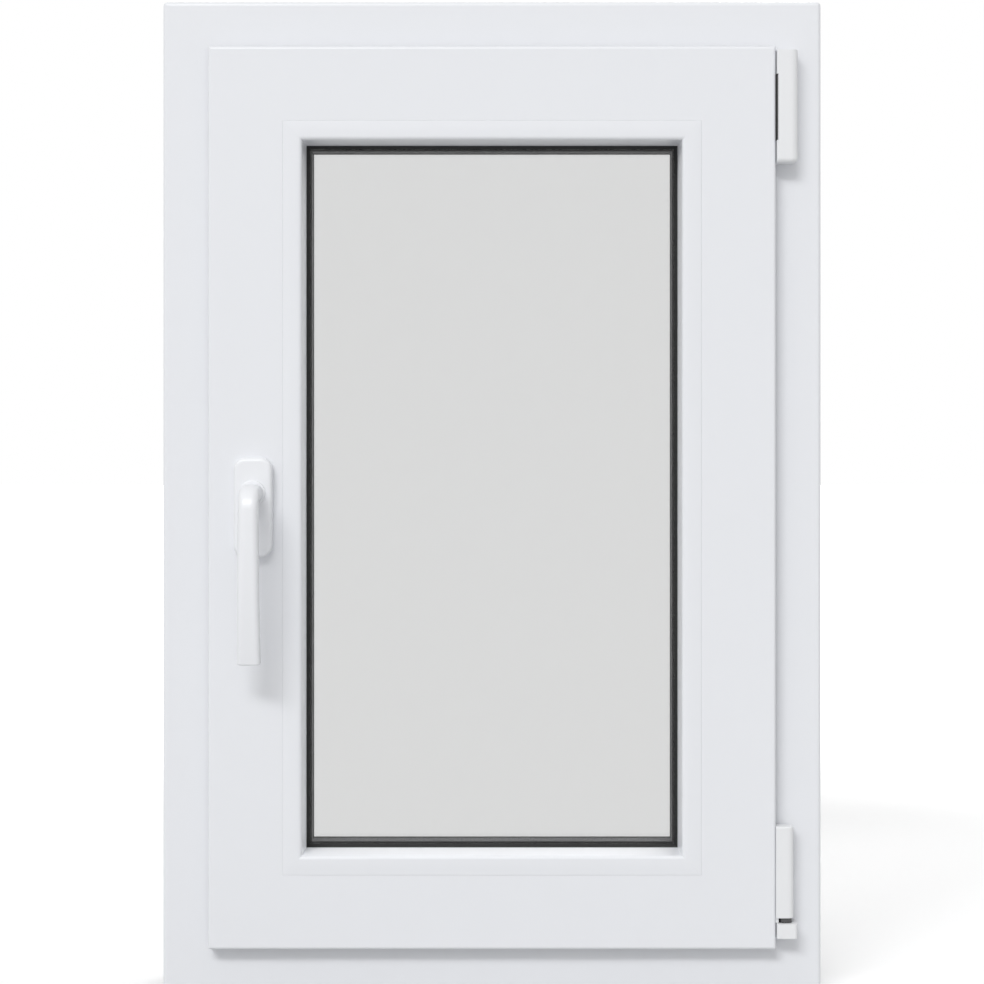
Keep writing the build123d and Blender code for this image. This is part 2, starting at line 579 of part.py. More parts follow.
def main():
    nodes = {}
    frame_names = {"bottom": "sill", "top": "head", "left": "jamb_left", "right": "jamb_right"}
    for side, bar in build_frame().items():
        nodes["frame_" + frame_names[side]] = bar

    sash_names = {"bottom": "bottom_rail", "top": "top_rail", "left": "stile_left", "right": "stile_right"}
    for side, bar in mitred_bars(sash_section(), SASH_MARGIN, SASH_LEG_HEIGHT + SASH_MARGIN).items():
        nodes["sash_" + sash_names[side]] = bar
    nodes["sash_stile_left"] -= spindle_bore()
    for side, bar in mitred_bars(bead_section(), GLAZING_RING, SIGHT_LINE).items():
        nodes["bead_" + side] = bar

    nodes["inner_pane"], nodes["outer_pane"], nodes["spacer_bar"], nodes["edge_sealant"] = build_panes()
    nodes["glazing_blocks"] = build_blocks()
    room_gasket = glazing_gasket(GLASS_ROOM, BEAD_BACK, GASKET_LIP)
    nodes["bead_gasket"] = ring_of(room_gasket, GLAZING_RING, SIGHT_LINE)
    outside_gasket = glazing_gasket(GLASS_OUT, LEG_IN, OUTSIDE_GASKET_LIP)
    nodes["outside_gasket"] = ring_of(outside_gasket, GLAZING_RING, SIGHT_LINE)
    nodes["sash_seal"] = ring_of(seal_section(SEAL_INSET, FLANGE_BACK, -1), SASH_MARGIN, SIGHT_LINE)
    nodes["frame_seal"] = ring_of(seal_section(FRAME_SEAL_START, LIP_IN, 1), 0, SIGHT_LINE)

    nodes["handle_rosette"] = build_rosette()
    nodes["handle_lever"] = build_lever()
    nodes["handle_spindle"] = build_spindle()
    nodes.update(build_stay())
    nodes.update(build_corner())
    nodes["drain_cap_left"] = build_drain_cap(-1)
    nodes["drain_cap_right"] = build_drain_cap(1)

    for name, shape in nodes.items():
        export_step(shape, f"parts/{name}.step")


main()
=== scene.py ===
"""Finishes, small parts and stage for a small white plastic window, laid out as a Blender add-on.

The bars, panes and fittings come from the frame. This file gives each its finish, adds the parts that
are too fine for it, and sets the floor, the lamps and the camera.
"""

import math

import bmesh
import bpy
from mathutils import Matrix, Vector


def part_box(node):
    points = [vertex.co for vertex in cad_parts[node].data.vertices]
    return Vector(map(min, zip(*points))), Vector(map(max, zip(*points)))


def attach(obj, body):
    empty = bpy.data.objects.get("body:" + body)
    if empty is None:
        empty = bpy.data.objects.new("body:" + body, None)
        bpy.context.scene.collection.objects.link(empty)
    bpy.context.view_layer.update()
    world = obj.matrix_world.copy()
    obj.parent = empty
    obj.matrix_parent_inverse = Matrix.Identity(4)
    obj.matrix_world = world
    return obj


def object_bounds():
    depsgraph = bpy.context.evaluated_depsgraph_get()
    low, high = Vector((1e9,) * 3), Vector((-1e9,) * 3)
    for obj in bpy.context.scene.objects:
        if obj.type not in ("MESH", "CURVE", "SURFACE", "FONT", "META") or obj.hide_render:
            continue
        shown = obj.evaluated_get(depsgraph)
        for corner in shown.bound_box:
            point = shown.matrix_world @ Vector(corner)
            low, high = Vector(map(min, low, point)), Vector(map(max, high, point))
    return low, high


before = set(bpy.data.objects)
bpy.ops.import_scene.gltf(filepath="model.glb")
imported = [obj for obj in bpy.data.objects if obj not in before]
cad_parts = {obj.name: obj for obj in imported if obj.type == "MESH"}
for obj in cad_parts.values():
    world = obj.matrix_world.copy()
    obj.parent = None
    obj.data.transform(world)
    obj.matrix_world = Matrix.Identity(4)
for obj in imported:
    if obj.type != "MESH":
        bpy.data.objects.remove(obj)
CAD_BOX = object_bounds()

bl_info = {
    "name": "White Plastic Window",
    "version": (1, 1, 0),
    "blender": (4, 5, 0),
    "location": "3D View > Sidebar > Window",
    "description": "Finishes, small parts and stage for a tilt-and-turn window",
    "category": "Object",
}

MM = 0.001
PHOTO_SIDE = 984

# CAD nodes that share a finish
HORIZONTAL_BARS = [
    "frame_sill", "frame_head", "sash_bottom_rail", "sash_top_rail",
    "bead_bottom", "bead_top",
]
UPRIGHT_BARS = [
    "frame_jamb_left", "frame_jamb_right", "sash_stile_left", "sash_stile_right",
    "bead_left", "bead_right",
]
PANES = ["inner_pane", "outer_pane"]
RUBBER_RINGS = ["bead_gasket", "outside_gasket", "sash_seal", "frame_seal"]
HINGE_COVERS = ["stay_cover", "corner_barrel", "corner_bearing"]
STEEL_FITTINGS = ["handle_spindle", "stay_bearing", "stay_pin"]
DRAIN_CAPS = ["drain_cap_left", "drain_cap_right"]

# Drying slits and corner hairlines of the spacer bar
SPACER_HEIGHT = 7.0 * MM
SLIT_HALF_LENGTH = 1.1 * MM
SLIT_HALF_WIDTH = 0.28 * MM
SLIT_THICKNESS = 0.3 * MM
SLIT_PROUD = 0.03 * MM
SLIT_ROWS = (-5.2 * MM, 5.2 * MM)
SLIT_END_MARGIN = 18.0 * MM
HAIRLINE_WIDTH = 0.25 * MM
HAIRLINE_FROM_CORNER = 12.0 * MM
HAIRLINE_INSET = 0.06 * MM
ARC_STEPS = 6
SQUARE_CORNERS = ((-1, -1), (1, -1), (1, 1), (-1, 1))

# Colours and grain directions of the finishes
BLOCK_BLUE = (0.05, 0.11, 0.25)
# Painted shade inside the spacer's drying slits, also used for its hairline joints
SLIT_SHADE = (0.01, 0.01, 0.01)
BLACK_STEEL = (0.07, 0.071, 0.07)
GRAIN_ALONG_X = (0.05, 1, 1)
GRAIN_ALONG_Z = (1, 1, 0.05)
LAMPLIGHT_PASSED = (0.92, 0.92, 0.92)

# Noise and films of the surfaces
NOISE_ROUGHNESS = 0.58
NOISE_MIDDLE = 0.5
MOTTLE_DETAIL = 3.0
GRAIN_DETAIL = 4.0
ROUGH_PATCH_SCALE = 35.0
ROUGH_PATCH_DETAIL = 2.0
WEAR_SAMPLES = 4
WEAR_SHARPNESS = 4.0
WEAR_BREAK_SCALE = 140.0
WEAR_BREAK_DETAIL = 3.0
DUST_FALLOFF = 3.0
DUST_PATCH_SCALE = 60.0
DUST_PATCH_DETAIL = 4.0
BUMP_STRENGTH = 0.5
COATING_MOTTLE_SCALE = 9.0
COATING_ROUGHNESS_SPREAD = 0.1
SPACER_GRAIN = 0.02 * MM
BARE_METALLIC = 0.2

# The spacer bar's sides face a pane where the normal's Y is over this
FACES_PANE = 0.7

# Places of a colour mix's sockets, because its number mix has sockets of the same names
MIX_SHARE = 0
MIX_FIRST = 6
MIX_SECOND = 7
MIX_RESULT = 2

# Floor, sky, lamps and camera
WHITE = (1.0, 1.0, 1.0)
FLOOR_REACH = 14.0
FLOOR_GAP = 0.5 * MM
FLOOR_GREY = (0.8, 0.8, 0.8)
BOUNCE_GREY = (0.6, 0.6, 0.6)
FADE_START = 0.8
FADE_END = 2.2
NEAR_GLOW = 0.17
FAR_GLOW = 1.0
LOBE_POWER = 2.0
ROOM_SIDE = (-0.4, -0.8, 0.5)
OUTSIDE = (0.1, 0.85, 0.45)
HINGE_SIDE = (1, 0.1, 0.15)
KEY_DIRECTION = (-0.35, -1.0, 0.82)
KEY_DISTANCE = 20.0
KEY_SIZE = (10.2, 3.4)
BACK_DIRECTION = (0.7, 1.6, 1.0)
BACK_DISTANCE = 6.0
BACK_SIZE = (2.6, 2.6)
SENSOR_WIDTH = 36.0


class WindowFinish(bpy.types.PropertyGroup):
    """Colours and textures of the window's surfaces."""

    plastic_colour: bpy.props.FloatVectorProperty(
        name="Plastic", description="White of the frame, sash and beads", subtype="COLOR",
        size=3, min=0, max=1, default=(0.785, 0.798, 0.828),
    )
    handle_colour: bpy.props.FloatVectorProperty(
        name="Handle", description="White lacquer of the handle", subtype="COLOR",
        size=3, min=0, max=1, default=(0.80, 0.812, 0.838),
    )
    cover_colour: bpy.props.FloatVectorProperty(
        name="Hinge covers", description="White of the hinge covers", subtype="COLOR",
        size=3, min=0, max=1, default=(0.787, 0.797, 0.812),
    )
    rubber_colour: bpy.props.FloatVectorProperty(
        name="Rubber", description="Near black of the gaskets and seals", subtype="COLOR",
        size=3, min=0, max=1, default=(0.016, 0.017, 0.017),
    )
    spacer_colour: bpy.props.FloatVectorProperty(
        name="Spacer bar", description="Dull metal of the bar between the panes", subtype="COLOR",
        size=3, min=0, max=1, default=(0.05, 0.051, 0.054),
    )
    glass_colour: bpy.props.FloatVectorProperty(
        name="Glass", description="Faint tint of one pane", subtype="COLOR",
        size=3, min=0, max=1, default=(0.8245, 0.8265, 0.826),
    )
    zinc_colour: bpy.props.FloatVectorProperty(
        name="Zinc", description="Plated steel of the bearings", subtype="COLOR",
        size=3, min=0, max=1, default=(0.52, 0.52, 0.53),
    )
    pin_colour: bpy.props.FloatVectorProperty(
        name="Lower pin", description="Oiled dark steel of the lower hinge pin", subtype="COLOR",
        size=3, min=0, max=1, default=(0.09, 0.09, 0.093),
    )
    dust_colour: bpy.props.FloatVectorProperty(
        name="Dust", description="Film on faces that look up", subtype="COLOR",
        size=3, min=0, max=1, default=(0.62, 0.60, 0.57),
    )
    wear_reach: bpy.props.FloatProperty(
        name="Edge wear reach", description="How far from an edge the rubbed band runs",
        subtype="DISTANCE", unit="LENGTH", min=0, max=0.005, default=0.8 * MM,
    )
    slit_pitch: bpy.props.FloatProperty(
        name="Spacer slit pitch", description="From one drying slit of the spacer bar to the next",
        subtype="DISTANCE", unit="LENGTH", min=0.002, default=3.6 * MM,
    )


class WindowStage(bpy.types.PropertyGroup):
    """Camera, lamps and floor."""

    camera_distance: bpy.props.FloatProperty(
        name="Camera distance", description="From the frame's room face to the camera",
        unit="LENGTH", min=0.5, default=1.8,
    )
    camera_height: bpy.props.FloatProperty(
        name="Camera height", description="Above the frame's foot", unit="LENGTH", default=0.435,
    )
    picture_scale: bpy.props.FloatProperty(
        name="Picture scale", description="Pixels to one millimetre at the frame's room face",
        min=0.1, default=1.316,
    )
    picture_top: bpy.props.FloatProperty(
        name="Top row", description="Picture row of the frame's top edge", default=1.7,
    )
    key_power: bpy.props.FloatProperty(
        name="Key lamp", description="Power of the soft lamp at the upper left", unit="POWER",
        min=0, default=1910.0,
    )
    back_power: bpy.props.FloatProperty(
        name="Back lamp", description="Power of the soft lamp on the outside", unit="POWER",
        min=0, default=130.0,
    )
    sky_level: bpy.props.FloatProperty(
        name="Sky", description="Brightness of the even light all round", min=0, default=0.21,
    )
    room_level: bpy.props.FloatProperty(
        name="Room light", description="Added brightness of the sky on the room side",
        min=0, default=0.68,
    )
    outside_level: bpy.props.FloatProperty(
        name="Outside light", description="Added brightness of the sky on the outside",
        min=0, default=0.5,
    )
    side_level: bpy.props.FloatProperty(
        name="Side light", description="Added brightness of the sky on the hinge side",
        min=0, default=0.45,
    )


def node_tree(owner):
    """The empty node tree of a material or a world."""
    owner.use_nodes = True
    tree = owner.node_tree
    tree.nodes.clear()
    return tree


def add(tree, kind, **settings):
    """A node of this kind, with attributes set by name."""
    node = tree.nodes.new(kind)
    for name, value in settings.items():
        setattr(node, name, value)
    return node


def put(node, **values):
    """Sets sockets by name, with underscores for spaces."""
    for name, value in values.items():
        node.inputs[name.replace("_", " ")].default_value = value
    return node


def calculate(tree, operation, *terms):
    """A math node over numbers and sockets; gives its output socket."""
    node = add(tree, "ShaderNodeMath", operation=operation)
    for place, term in enumerate(terms):
        if isinstance(term, (int, float)):
            node.inputs[place].default_value = term
        else:
            tree.links.new(term, node.inputs[place])
    return node.outputs[0]


def mix_colour(tree, share, first, second):
    """A colour mix of two sockets; gives its output socket."""
    node = add(tree, "ShaderNodeMix", data_type="RGBA")
    tree.links.new(share, node.inputs[MIX_SHARE])
    tree.links.new(first, node.inputs[MIX_FIRST])
    tree.links.new(second, node.inputs[MIX_SECOND])
    return node.outputs[MIX_RESULT]


def mix_shader(tree, share, first, second):
    """The first shader, turning to the second as the share goes to 1; gives its output socket."""
    node = add(tree, "ShaderNodeMixShader")
    tree.links.new(share, node.inputs["Fac"])
    tree.links.new(first, node.inputs[1])
    tree.links.new(second, node.inputs[2])
    return node.outputs[0]


def colour4(colour):
    """A colour with full alpha."""
    return (*colour, 1.0)


def plain_shader(tree, kind, colour, **values):
    """A shader or background of one colour; gives its output socket."""
    return put(add(tree, kind), Color=colour4(colour), **values).outputs[0]


def show(tree, shader):
    """Joins this shader to the material's output."""
    tree.links.new(shader, add(tree, "ShaderNodeOutputMaterial").inputs["Surface"])


def new_group(name, inputs, outputs):
    """A shader node group with named sockets, the values that it is given and the ones that it gives."""
    group = bpy.data.node_groups.new(name, "ShaderNodeTree")
    for socket, kind, default in inputs:
        made = group.interface.new_socket(socket, in_out="INPUT", socket_type="NodeSocket" + kind)
        made.default_value = default
    for socket, kind in outputs:
        group.interface.new_socket(socket, in_out="OUTPUT", socket_type="NodeSocket" + kind)
    start = group.nodes.new("NodeGroupInput").outputs
    end = group.nodes.new("NodeGroupOutput").inputs
    return group, start, end


def object_noise(tree, scale, detail, stretch=None):
    """Noise in the object's own space; scale is a number or a socket, and stretch a socket."""
    source = add(tree, "ShaderNodeTexCoord").outputs["Object"]
    if stretch is not None:
        stretched = add(tree, "ShaderNodeVectorMath", operation="MULTIPLY")
        tree.links.new(source, stretched.inputs[0])
        tree.links.new(stretch, stretched.inputs[1])
        source = stretched.outputs[0]
    noise = put(add(tree, "ShaderNodeTexNoise"), Detail=detail, Roughness=NOISE_ROUGHNESS)
    tree.links.new(source, noise.inputs["Vector"])
    if isinstance(scale, (int, float)):
        noise.inputs["Scale"].default_value = scale
    else:
        tree.links.new(scale, noise.inputs["Scale"])
    return noise.outputs["Fac"]


def build_mottle():
    """Broad, faint unevenness of a colour."""
    group, start, end = new_group(
        "Mottle",
        [("Color", "Color", (0.8, 0.8, 0.8, 1)), ("Amount", "Float", 0.03), ("Scale", "Float", 12.0)],
        [("Color", "Color")],
    )
    cloud = object_noise(group, start["Scale"], MOTTLE_DETAIL)
    centred = calculate(group, "SUBTRACT", cloud, NOISE_MIDDLE)
    swing = calculate(group, "MULTIPLY", centred, start["Amount"])
    tinted = add(group, "ShaderNodeVectorMath", operation="SCALE")
    group.links.new(start["Color"], tinted.inputs[0])
    group.links.new(calculate(group, "ADD", swing, 1.0), tinted.inputs["Scale"])
    group.links.new(tinted.outputs[0], end["Color"])
    return group


def build_grain():
    """Fine surface grain: a height for the bump and an uneven roughness."""
    group, start, end = new_group(
        "Fine Grain",
        [
            ("Scale", "Float", 900.0),
            ("Stretch", "Vector", (1, 1, 1)),
            ("Roughness", "Float", 0.35),
            ("Roughness Spread", "Float", 0.08),
        ],
        [("Height", "Float"), ("Roughness", "Float")],
    )
    fine = object_noise(group, start["Scale"], GRAIN_DETAIL, start["Stretch"])
    patches = object_noise(group, ROUGH_PATCH_SCALE, ROUGH_PATCH_DETAIL, start["Stretch"])
    centred = calculate(group, "SUBTRACT", patches, NOISE_MIDDLE)
    swing = calculate(group, "MULTIPLY", centred, start["Roughness Spread"])
    group.links.new(fine, end["Height"])
    group.links.new(calculate(group, "ADD", swing, start["Roughness"]), end["Roughness"])
    return group


def build_wear():
    """A band along edges that hands and cloths have rubbed, broken up by noise."""
    group, start, end = new_group(
        "Edge Wear",
        [
            ("Color", "Color", (0.8, 0.8, 0.8, 1)),
            ("Worn Color", "Color", (0.7, 0.7, 0.7, 1)),
            ("Amount", "Float", 0.2),
            ("Reach", "Float", 0.001),
        ],
        [("Color", "Color"), ("Mask", "Float")],
    )
    rounded = add(group, "ShaderNodeBevel", samples=WEAR_SAMPLES)
    group.links.new(start["Reach"], rounded.inputs["Radius"])
    plain = add(group, "ShaderNodeNewGeometry")
    alike = add(group, "ShaderNodeVectorMath", operation="DOT_PRODUCT")
    group.links.new(rounded.outputs[0], alike.inputs[0])
    group.links.new(plain.outputs["Normal"], alike.inputs[1])
    lean = calculate(group, "SUBTRACT", 1.0, alike.outputs["Value"])
    near_edge = calculate(group, "MINIMUM", calculate(group, "MULTIPLY", lean, WEAR_SHARPNESS), 1.0)
    breaks = object_noise(group, WEAR_BREAK_SCALE, WEAR_BREAK_DETAIL)
    broken = calculate(group, "MULTIPLY", near_edge, breaks)
    mask = calculate(group, "MULTIPLY", broken, start["Amount"])
    group.links.new(mix_colour(group, mask, start["Color"], start["Worn Color"]), end["Color"])
    group.links.new(mask, end["Mask"])
    return group


def build_dust():
    """A thin film that settles on faces that look up."""
    group, start, end = new_group(
        "Dust Film",
        [
            ("Color", "Color", (0.8, 0.8, 0.8, 1)),
            ("Dust Color", "Color", (0.6, 0.6, 0.6, 1)),
            ("Amount", "Float", 0.1),
        ],
        [("Color", "Color"), ("Mask", "Float")],
    )
    facing = add(group, "ShaderNodeSeparateXYZ")
    group.links.new(add(group, "ShaderNodeNewGeometry").outputs["Normal"], facing.inputs[0])
    upward = calculate(group, "MAXIMUM", facing.outputs["Z"], 0.0)
    level = calculate(group, "POWER", upward, DUST_FALLOFF)
    patches = object_noise(group, DUST_PATCH_SCALE, DUST_PATCH_DETAIL)
    settled = calculate(group, "MULTIPLY", level, patches)
    mask = calculate(group, "MULTIPLY", settled, start["Amount"])
    group.links.new(mix_colour(group, mask, start["Color"], start["Dust Color"]), end["Color"])
    group.links.new(mask, end["Mask"])
    return group


GROUP_BUILDERS = {
    "Mottle": build_mottle,
    "Fine Grain": build_grain,
    "Edge Wear": build_wear,
    "Dust Film": build_dust,
}


def use_group(tree, name, **values):
    """A group placed in a material with its own values, built the first time that it is asked for."""
    node = tree.nodes.new("ShaderNodeGroup")
    node.node_tree = bpy.data.node_groups.get(name) or GROUP_BUILDERS[name]()
    return put(node, **values)


def show_surface(tree, shader, colour, rough, height, depth):
    """Joins colour, roughness and a grain of this depth to the shader, and the shader to the output."""
    bump = put(add(tree, "ShaderNodeBump"), Strength=BUMP_STRENGTH, Distance=depth)
    tree.links.new(height, bump.inputs["Height"])
    tree.links.new(colour, shader.inputs["Base Color"])
    tree.links.new(rough, shader.inputs["Roughness"])
    tree.links.new(bump.outputs["Normal"], shader.inputs["Normal"])
    show(tree, shader.outputs[0])


def coated(name, colour, finish, *, grain, roughness, depth, mottle, stretch=(1, 1, 1), wear=0.15,
           dust=0.1, worn=0.85, metallic=0.0, specular=0.5):
    """A solid surface: mottled colour, rubbed edges, dust on top, fine grain and an uneven gloss.

    Grain is the scale of its noise and depth its height in metres. Wear and dust are the largest shares
    of the rubbed colour and of the dust's, and worn is how bright the rubbed colour is beside the plain.
    """
    material = bpy.data.materials.new(name)
    tree = node_tree(material)
    base = use_group(tree, "Mottle", Color=colour4(colour), Amount=mottle, Scale=COATING_MOTTLE_SCALE)
    worn_colour = colour4([part * worn for part in colour])
    rubbed = use_group(tree, "Edge Wear", Worn_Color=worn_colour, Amount=wear, Reach=finish.wear_reach)
    film = use_group(tree, "Dust Film", Dust_Color=colour4(finish.dust_colour), Amount=dust)
    fine = use_group(
        tree, "Fine Grain", Scale=grain, Stretch=stretch, Roughness=roughness,
        Roughness_Spread=COATING_ROUGHNESS_SPREAD,
    )
    tree.links.new(base.outputs["Color"], rubbed.inputs["Color"])
    tree.links.new(rubbed.outputs["Color"], film.inputs["Color"])
    rough = calculate(tree, "ADD", fine.outputs["Roughness"], film.outputs["Mask"])
    shader = put(add(tree, "ShaderNodeBsdfPrincipled"), Metallic=metallic, Specular_IOR_Level=specular)
    show_surface(tree, shader, film.outputs["Color"], rough, fine.outputs["Height"], depth)
    return material


def spacer_material(finish):
    """Dull metal towards the glass cavity, with black sealant on the sides against the panes."""
    material = bpy.data.materials.new("spacer_metal")
    tree = node_tree(material)
    metal = use_group(tree, "Mottle", Color=colour4(finish.spacer_colour), Amount=0.15, Scale=40.0)
    sealant = use_group(tree, "Mottle", Color=colour4(finish.rubber_colour), Amount=0.4, Scale=60.0)
    facing = add(tree, "ShaderNodeSeparateXYZ")
    tree.links.new(add(tree, "ShaderNodeNewGeometry").outputs["Normal"], facing.inputs[0])
    towards_pane = calculate(tree, "ABSOLUTE", facing.outputs["Y"])
    at_pane = calculate(tree, "GREATER_THAN", towards_pane, FACES_PANE)
    colour = mix_colour(tree, at_pane, metal.outputs["Color"], sealant.outputs["Color"])
    fine = use_group(tree, "Fine Grain", Scale=700.0, Roughness=0.62, Roughness_Spread=0.15)
    shader = put(add(tree, "ShaderNodeBsdfPrincipled"), Specular_IOR_Level=0.05)
    bare = calculate(tree, "SUBTRACT", 1.0, at_pane)
    tree.links.new(calculate(tree, "MULTIPLY", bare, BARE_METALLIC), shader.inputs["Metallic"])
    show_surface(tree, shader, colour, fine.outputs["Roughness"], fine.outputs["Height"], SPACER_GRAIN)
    return material


def glass_material(tint):
    """Clear float glass which lamps shine through; its tint brightens and dims in faint broad patches, a
    painted reflection like faint streaks.
    """
    material = bpy.data.materials.new("clear_glass")
    tree = node_tree(material)
    # Painted reflection: the tint brightens and dims in faint broad patches like the streaks of a faint
    # reflection
    painted_streak_tint = use_group(tree, "Mottle", Color=colour4(tint), Amount=0.008, Scale=1.6)
    shader = put(add(tree, "ShaderNodeBsdfPrincipled"), Roughness=0.0, IOR=1.5, Transmission_Weight=1.0)
    tree.links.new(painted_streak_tint.outputs["Color"], shader.inputs["Base Color"])
    clear = plain_shader(tree, "ShaderNodeBsdfTransparent", LAMPLIGHT_PASSED)
    for_lamps = add(tree, "ShaderNodeLightPath").outputs["Is Shadow Ray"]
    show(tree, mix_shader(tree, for_lamps, shader.outputs[0], clear))
    return material


def dress(names, material):
    """Gives CAD nodes this material."""
    for name in names:
        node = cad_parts[name]
        node.data.materials.clear()
        node.data.materials.append(material)


def new_piece(name, mesh_data, material):
    """Makes a finished mesh a piece of the window."""
    mesh = bpy.data.meshes.new(name)
    mesh_data.to_mesh(mesh)
    mesh_data.free()
    mesh.materials.append(material)
    piece = bpy.data.objects.new(name, mesh)
    bpy.context.scene.collection.objects.link(piece)
    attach(piece, "root")


def add_prism(mesh_data, outline, thickness, place):
    """A closed plate of this outline in X and Y, from z = 0 down, put in place by a matrix."""
    top = [mesh_data.verts.new(place @ Vector((x, y, 0))) for x, y in outline]
    low = [mesh_data.verts.new(place @ Vector((x, y, -thickness))) for x, y in outline]
    mesh_data.faces.new(top)
    mesh_data.faces.new(list(reversed(low)))
    for i in range(len(outline)):
        j = (i + 1) % len(outline)
        mesh_data.faces.new((top[j], top[i], low[i], low[j]))


def oval(half_length, half_width):
    """A slot outline with round ends."""
    straight = half_length - half_width
    points = []
    for end, first in ((1, -90), (-1, 90)):
        for step in range(ARC_STEPS):
            angle = math.radians(first + 180 * step / (ARC_STEPS - 1))
            points.append((end * straight + half_width * math.cos(angle), half_width * math.sin(angle)))
    return points


def spacer_sides():
    """Each inner side of the spacer bar: its middle, the way along it, the way it faces, its length."""
    low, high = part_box("spacer_bar")
    middle = (low + high) / 2
    half_x = (high.x - low.x) / 2 - SPACER_HEIGHT
    half_z = (high.z - low.z) / 2 - SPACER_HEIGHT
    across, up = Vector((1, 0, 0)), Vector((0, 0, 1))
    return [
        (middle - up * half_z, across, up, 2 * half_x),
        (middle + up * half_z, -across, -up, 2 * half_x),
        (middle - across * half_x, -up, across, 2 * half_z),
        (middle + across * half_x, up, -across, 2 * half_z),
    ]


def seat_on(point, along, facing):
    """A matrix whose X runs along the bar and whose Z faces out of it."""
    side = facing.cross(along)
    matrix = Matrix((along, side, facing)).transposed().to_4x4()
    matrix.translation = point
    return matrix


def add_spacer_slits(pitch, material):
    """The two rows of drying slits on the faces of the spacer bar that look into the cavity, drawn as
    thin near-black plates: painted shade of the openings.
    """
    mesh_data = bmesh.new()
    shape = oval(SLIT_HALF_LENGTH, SLIT_HALF_WIDTH)
    for middle, along, facing, length in spacer_sides():
        count = int((length - 2 * SLIT_END_MARGIN) / pitch)
        for row in SLIT_ROWS:
            start = middle + Vector((0, row, 0)) + facing * SLIT_PROUD
            for i in range(count):
                point = start + along * ((i - (count - 1) / 2) * pitch)
                add_prism(mesh_data, shape, SLIT_THICKNESS, seat_on(point, along, facing))
    new_piece("spacer_slits", mesh_data, material)


def add_spacer_joints(material):
    """The hairlines where the corner keys of the spacer bar end."""
    low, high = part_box("spacer_bar")
    half_depth = (high.y - low.y) / 2 - HAIRLINE_INSET
    half_width = HAIRLINE_WIDTH / 2
    shape = [(x * half_width, y * half_depth) for x, y in SQUARE_CORNERS]
    mesh_data = bmesh.new()
    for middle, along, facing, length in spacer_sides():
        for end in (-1, 1):
            point = middle + facing * SLIT_PROUD + along * (end * (length / 2 - HAIRLINE_FROM_CORNER))
            add_prism(mesh_data, shape, SLIT_THICKNESS, seat_on(point, along, facing))
    new_piece("spacer_corner_joints", mesh_data, material)


class FinishProfiles(bpy.types.Operator):
    """Finish the frame, the sash, the beads and the drain caps"""

    bl_idname = "window_parts.finish_profiles"
    bl_label = "Finish Profiles"

    def execute(self, context):
        finish = context.scene.window_finish
        colour = finish.plastic_colour
        look = dict(grain=1400, roughness=0.33, depth=0.015 * MM, mottle=0.012, wear=0.12, dust=0.06)
        across = coated("white_plastic_across", colour, finish, stretch=GRAIN_ALONG_X, **look)
        upright = coated("white_plastic_upright", colour, finish, stretch=GRAIN_ALONG_Z, **look)
        dress(HORIZONTAL_BARS, across)
        dress(UPRIGHT_BARS, upright)
        moulded = coated(
            "drain_cap_plastic", colour, finish, grain=1500, roughness=0.42, depth=0.03 * MM,
            mottle=0.02, dust=0.25,
        )
        dress(DRAIN_CAPS, moulded)
        return {"FINISHED"}


class FinishGlazing(bpy.types.Operator):
    """Finish the panes, the spacer bar, the gaskets and the glazing blocks"""

    bl_idname = "window_parts.finish_glazing"
    bl_label = "Finish Glazing"

    def execute(self, context):
        finish = context.scene.window_finish
        black = finish.rubber_colour
        dress(PANES, glass_material(finish.glass_colour))
        rubber = coated(
            "gasket_rubber", black, finish, grain=2600, roughness=0.5, depth=0.04 * MM, mottle=0.25,
            wear=0.3, dust=0.03, worn=2.5, specular=0.25,
        )
        dress(RUBBER_RINGS, rubber)
        sealant = coated(
            "edge_sealant", black, finish, grain=500, roughness=0.7, depth=0.2 * MM, mottle=0.4,
            wear=0, dust=0, specular=0.2,
        )
        dress(["edge_sealant"], sealant)
        dress(["spacer_bar"], spacer_material(finish))
        blocks = coated(
            "block_plastic", BLOCK_BLUE, finish, grain=700, roughness=0.5, depth=0.03 * MM,
            mottle=0.1, dust=0,
        )
        dress(["glazing_blocks"], blocks)
        # Near-black plates for the drying slits are painted shade of the openings; the same dark also
        # draws the hairline joints
        dark = coated(
            "slit_shade", SLIT_SHADE, finish, grain=700, roughness=0.8, depth=0.02 * MM, mottle=0.2,
            wear=0, dust=0, specular=0.1,
        )
        add_spacer_slits(finish.slit_pitch, dark)
        add_spacer_joints(dark)
        return {"FINISHED"}


class FinishHandle(bpy.types.Operator):
    """Finish the handle and its backplate"""

    bl_idname = "window_parts.finish_handle"
    bl_label = "Finish Handle"

    def execute(self, context):
        finish = context.scene.window_finish
        lacquer = coated(
            "handle_lacquer", finish.handle_colour, finish, grain=1800, roughness=0.42, depth=0.015 * MM,
            mottle=0.012, wear=0.2, dust=0.06, worn=0.9, specular=0.85,
        )
        dress(["handle_rosette", "handle_lever"], lacquer)
        return {"FINISHED"}


